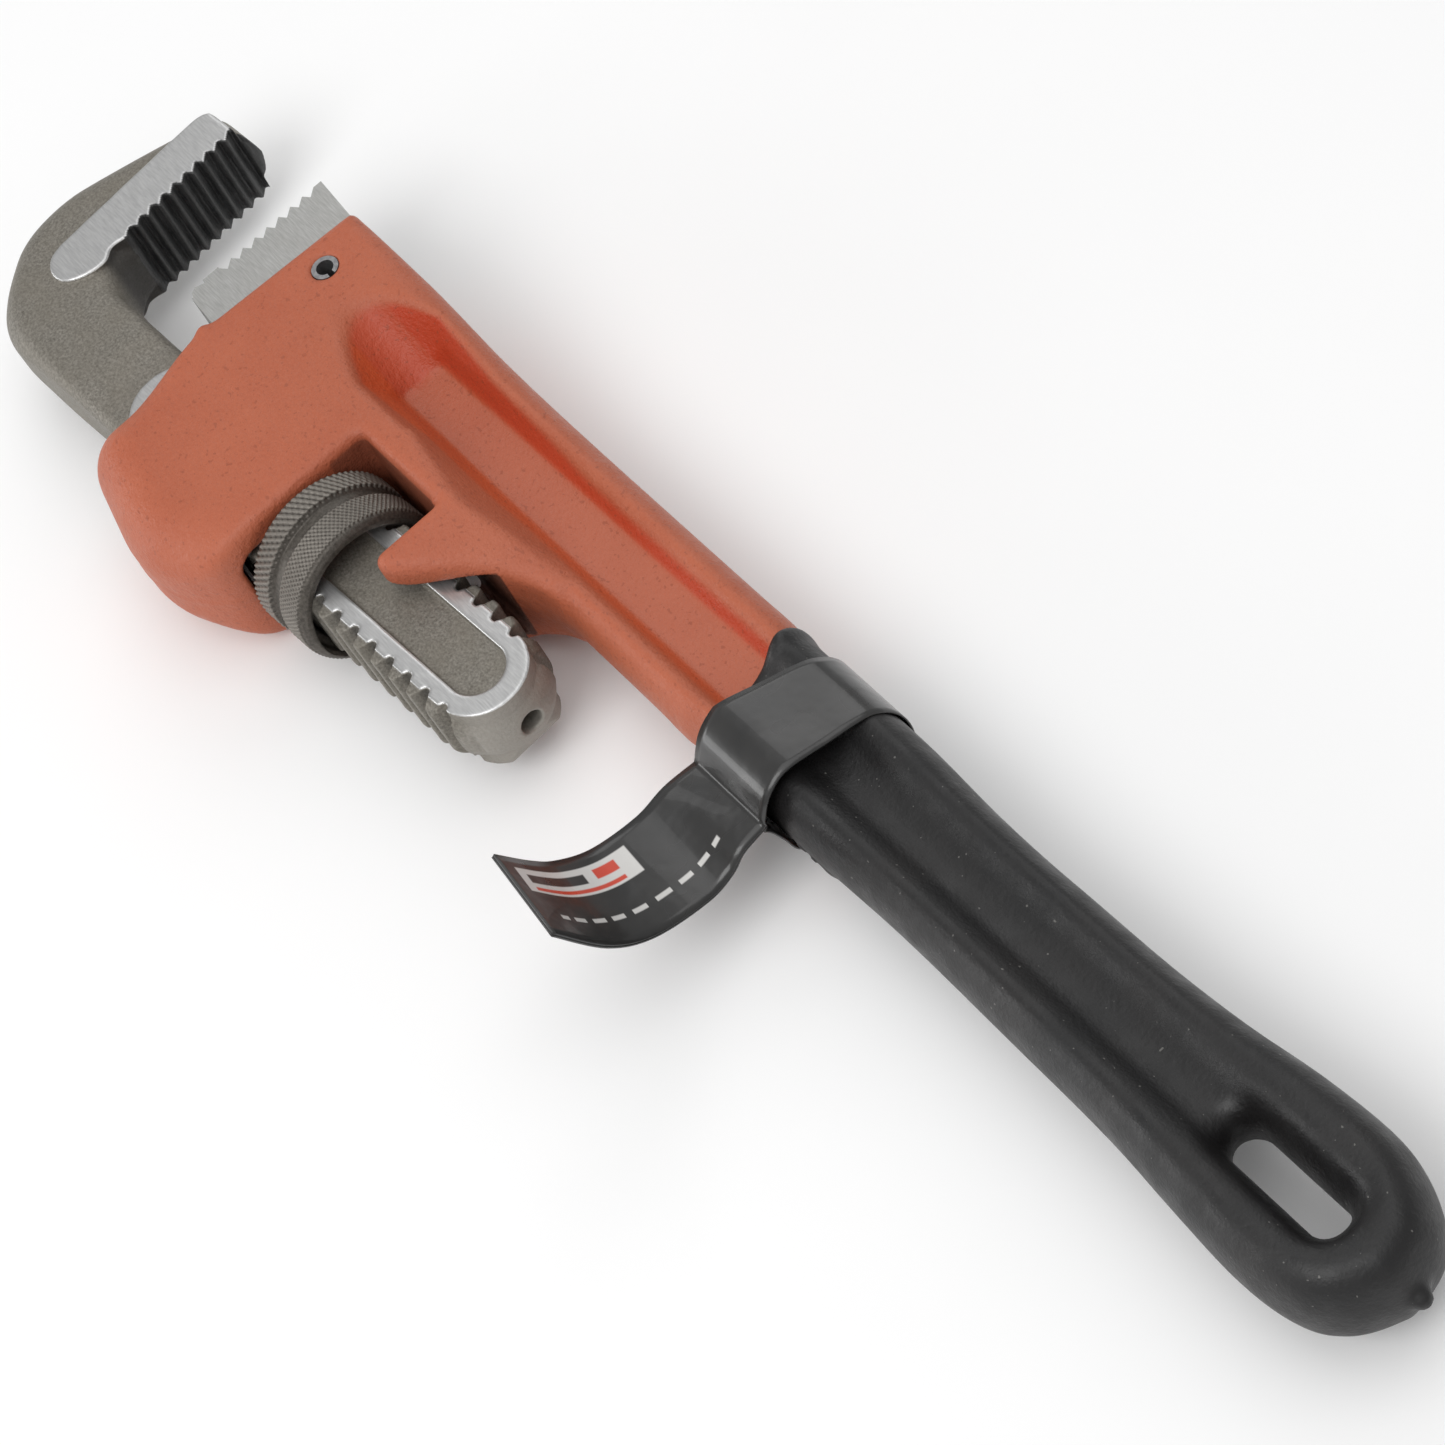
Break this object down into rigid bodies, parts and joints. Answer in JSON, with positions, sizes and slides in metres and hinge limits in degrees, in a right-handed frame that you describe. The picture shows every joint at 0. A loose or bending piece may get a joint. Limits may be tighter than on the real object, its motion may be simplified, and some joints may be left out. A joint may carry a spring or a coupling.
{
  "type": "pipe wrench",
  "caption": "Straight pipe wrench: cast I-beam handle with dipped grip, toothed heel insert, sliding hook jaw on a threaded shank, and a knurled adjusting nut in a side window.",
  "frame": {"origin": "centre of the bounding box, on the plane that the back cheek of the housing rests on", "axes": "+X along the handle from the jaws to the hang hole, +Y toward the jaw mouth, +Z out of the front face"},
  "size_m": [0.3481, 0.073, 0.0374],
  "materials": {
    "orange_casting": "satin",
    "ground_steel": "brushed",
    "spring_steel": "satin",
    "forged_steel": "rough",
    "nut_iron": "rough",
    "black_vinyl": "satin",
    "tag_card": "gloss"
  },
  "bodies": {
    "handle_body": {"handle": "orange_casting", "heel_jaw": "ground_steel", "heel_jaw_pin": "spring_steel", "handle_grip": "black_vinyl", "hang_tag": "tag_card"},
    "rocking_frame": {"flat_spring": "spring_steel", "coil_spring": "spring_steel"},
    "nut": {"adjusting_nut": "nut_iron"},
    "hook": {"hook_jaw": "forged_steel"}
  },
  "joints": [
    {"name": "jaw_rock", "type": "hinge", "parent": "handle_body", "child": "rocking_frame", "pos_m": [-0.066, -0.011, 0.015], "axis": [0, 0, 1], "range_deg": [-1.4, 1.5], "stiffness_Nm_per_rad": 8},
    {"name": "nut_spin", "type": "hinge", "parent": "rocking_frame", "child": "nut", "pos_m": [-0.071, -0.0112, 0.015], "axis": [0.9991, 0.0427, 0], "range_deg": [-1292, 2780]},
    {"name": "jaw_slide", "type": "slide", "parent": "rocking_frame", "child": "hook", "axis": [0.9991, 0.0427, 0], "range_m": [-0.0392, 0.0182]}
  ],
  "couplings": [
    {"joint": "nut_spin", "follows": "jaw_slide", "rad_per_m": -1236.8}
  ]
}
